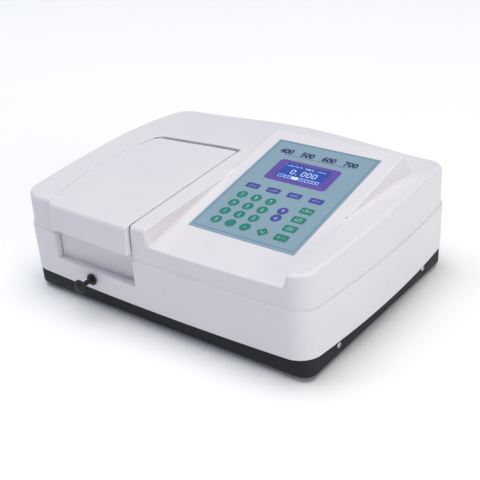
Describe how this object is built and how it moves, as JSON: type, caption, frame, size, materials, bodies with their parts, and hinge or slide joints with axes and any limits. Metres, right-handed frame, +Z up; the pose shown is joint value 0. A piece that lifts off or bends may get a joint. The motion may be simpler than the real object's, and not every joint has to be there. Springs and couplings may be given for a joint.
{
  "type": "bench spectrophotometer",
  "caption": "Bench spectrophotometer: white two-part case on a black base tray, hinged sample lid over a cell carriage with pull rod, and a sloping keypad console with display.",
  "frame": {"origin": "on the bench top, under the middle of the bounding box, which takes in the knob that stands out in front", "axes": "+X to the right along the longest side, +Y from the keypad side to the back, +Z up"},
  "size_m": [0.4742, 0.3904, 0.1808],
  "materials": {
    "white_plastic": "fine satin moulded ABS, slightly cool white",
    "base_plastic": "fine textured blue-black ABS",
    "black_plastic": "satin black",
    "overlay_film": "matte teal-blue polycarbonate film",
    "key_green": "matte dark green",
    "key_blue": "matte blue-violet",
    "display": "glossy blue display window",
    "steel": "satin",
    "panel_steel": "dark grey powder coat",
    "aluminium": "machined",
    "black_metal": "black anodised",
    "circuit_board": "green solder mask",
    "lamp_glass": "clear quartz",
    "rubber": "matte"
  },
  "bodies": {
    "case": {"base_tray": "base_plastic", "lower_housing": "white_plastic", "upper_housing": "white_plastic", "foot_front_left": "rubber", "foot_rear_left": "rubber", "foot_front_right": "rubber", "foot_rear_right": "rubber", "side_screw_left_front": "steel", "side_screw_left_rear": "steel", "side_screw_right_front": "steel", "side_screw_right_rear": "steel", "lid_hinge_pin": "steel", "sample_tub": "black_plastic", "carriage_rail": "steel", "rod_bushing": "black_plastic", "keypad_overlay": "overlay_film", "lcd_module": "display", "main_board": "circuit_board", "power_supply": "aluminium", "optical_bench": "aluminium", "monochromator_box": "black_metal", "stepper_motor": "steel", "lamp_housing": "aluminium", "halogen_lamp": "lamp_glass", "detector_box": "black_metal", "rear_panel": "panel_steel", "power_inlet": "black_plastic", "data_port": "steel", "fan_frame": "black_plastic"},
    "lid": {"sample_lid": "white_plastic", "lid_inner_panel": "black_plastic"},
    "carriage": {"cell_carriage": "black_metal", "pull_rod": "steel", "pull_knob": "black_plastic"},
    "turntable": {"grating_turntable": "aluminium"},
    "fan": {"fan_rotor": "black_plastic"},
    "rocker": {"power_rocker": "black_plastic"},
    "key_7": {"key_7": "key_green"},
    "key_8": {"key_8": "key_green"},
    "key_9": {"key_9": "key_green"},
    "key_4": {"key_4": "key_green"},
    "key_5": {"key_5": "key_green"},
    "key_6": {"key_6": "key_green"},
    "key_1": {"key_1": "key_green"},
    "key_2": {"key_2": "key_green"},
    "key_3": {"key_3": "key_green"},
    "key_0": {"key_0": "key_green"},
    "key_point": {"key_point": "key_green"},
    "key_minus": {"key_minus": "key_green"},
    "key_up": {"key_up": "key_blue"},
    "key_down": {"key_down": "key_blue"},
    "key_soft_1": {"key_soft_1": "key_blue"},
    "key_soft_2": {"key_soft_2": "key_blue"},
    "key_soft_3": {"key_soft_3": "key_blue"},
    "key_soft_4": {"key_soft_4": "key_blue"},
    "key_zero": {"key_zero": "key_green"},
    "key_blank": {"key_blank": "key_green"},
    "key_print": {"key_print": "key_green"},
    "key_start": {"key_start": "key_green"},
    "key_enter": {"key_enter": "key_green"}
  },
  "joints": [
    {"name": "lid_hinge", "type": "hinge", "parent": "case", "child": "lid", "pos_m": [-0.098, 0.04715, 0.15], "axis": [-1, 0, 0], "range_deg": [0, 85]},
    {"name": "carriage_pull", "type": "slide", "parent": "case", "child": "carriage", "axis": [0, -1, 0], "range_m": [0, 0.06]},
    {"name": "turntable_turn", "type": "hinge", "parent": "case", "child": "turntable", "pos_m": [0.07, 0.00115, 0.03], "axis": [0, 0, 1], "range_deg": [-5, 35]},
    {"name": "fan_spin", "type": "hinge", "parent": "case", "child": "fan", "pos_m": [-0.072, 0.17815, 0.068], "axis": [0, 1, 0], "continuous": true},
    {"name": "power_switch", "type": "hinge", "parent": "case", "child": "rocker", "pos_m": [0.098, 0.18465, 0.068], "axis": [1, 0, 0], "range_deg": [0, 16]},
    {"name": "key_7_press", "type": "slide", "parent": "case", "child": "key_7", "axis": [0, 0.1994, -0.9799], "range_m": [0, 0.0004], "stiffness_N_per_m": 600, "springref_m": -0.0004},
    {"name": "key_8_press", "type": "slide", "parent": "case", "child": "key_8", "axis": [0, 0.1994, -0.9799], "range_m": [0, 0.0004], "stiffness_N_per_m": 600, "springref_m": -0.0004},
    {"name": "key_9_press", "type": "slide", "parent": "case", "child": "key_9", "axis": [0, 0.1994, -0.9799], "range_m": [0, 0.0004], "stiffness_N_per_m": 600, "springref_m": -0.0004},
    {"name": "key_4_press", "type": "slide", "parent": "case", "child": "key_4", "axis": [0, 0.1994, -0.9799], "range_m": [0, 0.0004], "stiffness_N_per_m": 600, "springref_m": -0.0004},
    {"name": "key_5_press", "type": "slide", "parent": "case", "child": "key_5", "axis": [0, 0.1994, -0.9799], "range_m": [0, 0.0004], "stiffness_N_per_m": 600, "springref_m": -0.0004},
    {"name": "key_6_press", "type": "slide", "parent": "case", "child": "key_6", "axis": [0, 0.1994, -0.9799], "range_m": [0, 0.0004], "stiffness_N_per_m": 600, "springref_m": -0.0004},
    {"name": "key_1_press", "type": "slide", "parent": "case", "child": "key_1", "axis": [0, 0.1994, -0.9799], "range_m": [0, 0.0004], "stiffness_N_per_m": 600, "springref_m": -0.0004},
    {"name": "key_2_press", "type": "slide", "parent": "case", "child": "key_2", "axis": [0, 0.1994, -0.9799], "range_m": [0, 0.0004], "stiffness_N_per_m": 600, "springref_m": -0.0004},
    {"name": "key_3_press", "type": "slide", "parent": "case", "child": "key_3", "axis": [0, 0.1994, -0.9799], "range_m": [0, 0.0004], "stiffness_N_per_m": 600, "springref_m": -0.0004},
    {"name": "key_0_press", "type": "slide", "parent": "case", "child": "key_0", "axis": [0, 0.1994, -0.9799], "range_m": [0, 0.0004], "stiffness_N_per_m": 600, "springref_m": -0.0004},
    {"name": "key_point_press", "type": "slide", "parent": "case", "child": "key_point", "axis": [0, 0.1994, -0.9799], "range_m": [0, 0.0004], "stiffness_N_per_m": 600, "springref_m": -0.0004},
    {"name": "key_minus_press", "type": "slide", "parent": "case", "child": "key_minus", "axis": [0, 0.1994, -0.9799], "range_m": [0, 0.0004], "stiffness_N_per_m": 600, "springref_m": -0.0004},
    {"name": "key_up_press", "type": "slide", "parent": "case", "child": "key_up", "axis": [0, 0.1994, -0.9799], "range_m": [0, 0.0004], "stiffness_N_per_m": 600, "springref_m": -0.0004},
    {"name": "key_down_press", "type": "slide", "parent": "case", "child": "key_down", "axis": [0, 0.1994, -0.9799], "range_m": [0, 0.0004], "stiffness_N_per_m": 600, "springref_m": -0.0004},
    {"name": "key_soft_1_press", "type": "slide", "parent": "case", "child": "key_soft_1", "axis": [0, 0.1994, -0.9799], "range_m": [0, 0.0004], "stiffness_N_per_m": 600, "springref_m": -0.0004},
    {"name": "key_soft_2_press", "type": "slide", "parent": "case", "child": "key_soft_2", "axis": [0, 0.1994, -0.9799], "range_m": [0, 0.0004], "stiffness_N_per_m": 600, "springref_m": -0.0004},
    {"name": "key_soft_3_press", "type": "slide", "parent": "case", "child": "key_soft_3", "axis": [0, 0.1994, -0.9799], "range_m": [0, 0.0004], "stiffness_N_per_m": 600, "springref_m": -0.0004},
    {"name": "key_soft_4_press", "type": "slide", "parent": "case", "child": "key_soft_4", "axis": [0, 0.1994, -0.9799], "range_m": [0, 0.0004], "stiffness_N_per_m": 600, "springref_m": -0.0004},
    {"name": "key_zero_press", "type": "slide", "parent": "case", "child": "key_zero", "axis": [0, 0.1994, -0.9799], "range_m": [0, 0.0004], "stiffness_N_per_m": 600, "springref_m": -0.0004},
    {"name": "key_blank_press", "type": "slide", "parent": "case", "child": "key_blank", "axis": [0, 0.1994, -0.9799], "range_m": [0, 0.0004], "stiffness_N_per_m": 600, "springref_m": -0.0004},
    {"name": "key_print_press", "type": "slide", "parent": "case", "child": "key_print", "axis": [0, 0.1994, -0.9799], "range_m": [0, 0.0004], "stiffness_N_per_m": 600, "springref_m": -0.0004},
    {"name": "key_start_press", "type": "slide", "parent": "case", "child": "key_start", "axis": [0, 0.1994, -0.9799], "range_m": [0, 0.0004], "stiffness_N_per_m": 600, "springref_m": -0.0004},
    {"name": "key_enter_press", "type": "slide", "parent": "case", "child": "key_enter", "axis": [0, 0.1994, -0.9799], "range_m": [0, 0.0004], "stiffness_N_per_m": 600, "springref_m": -0.0004}
  ]
}
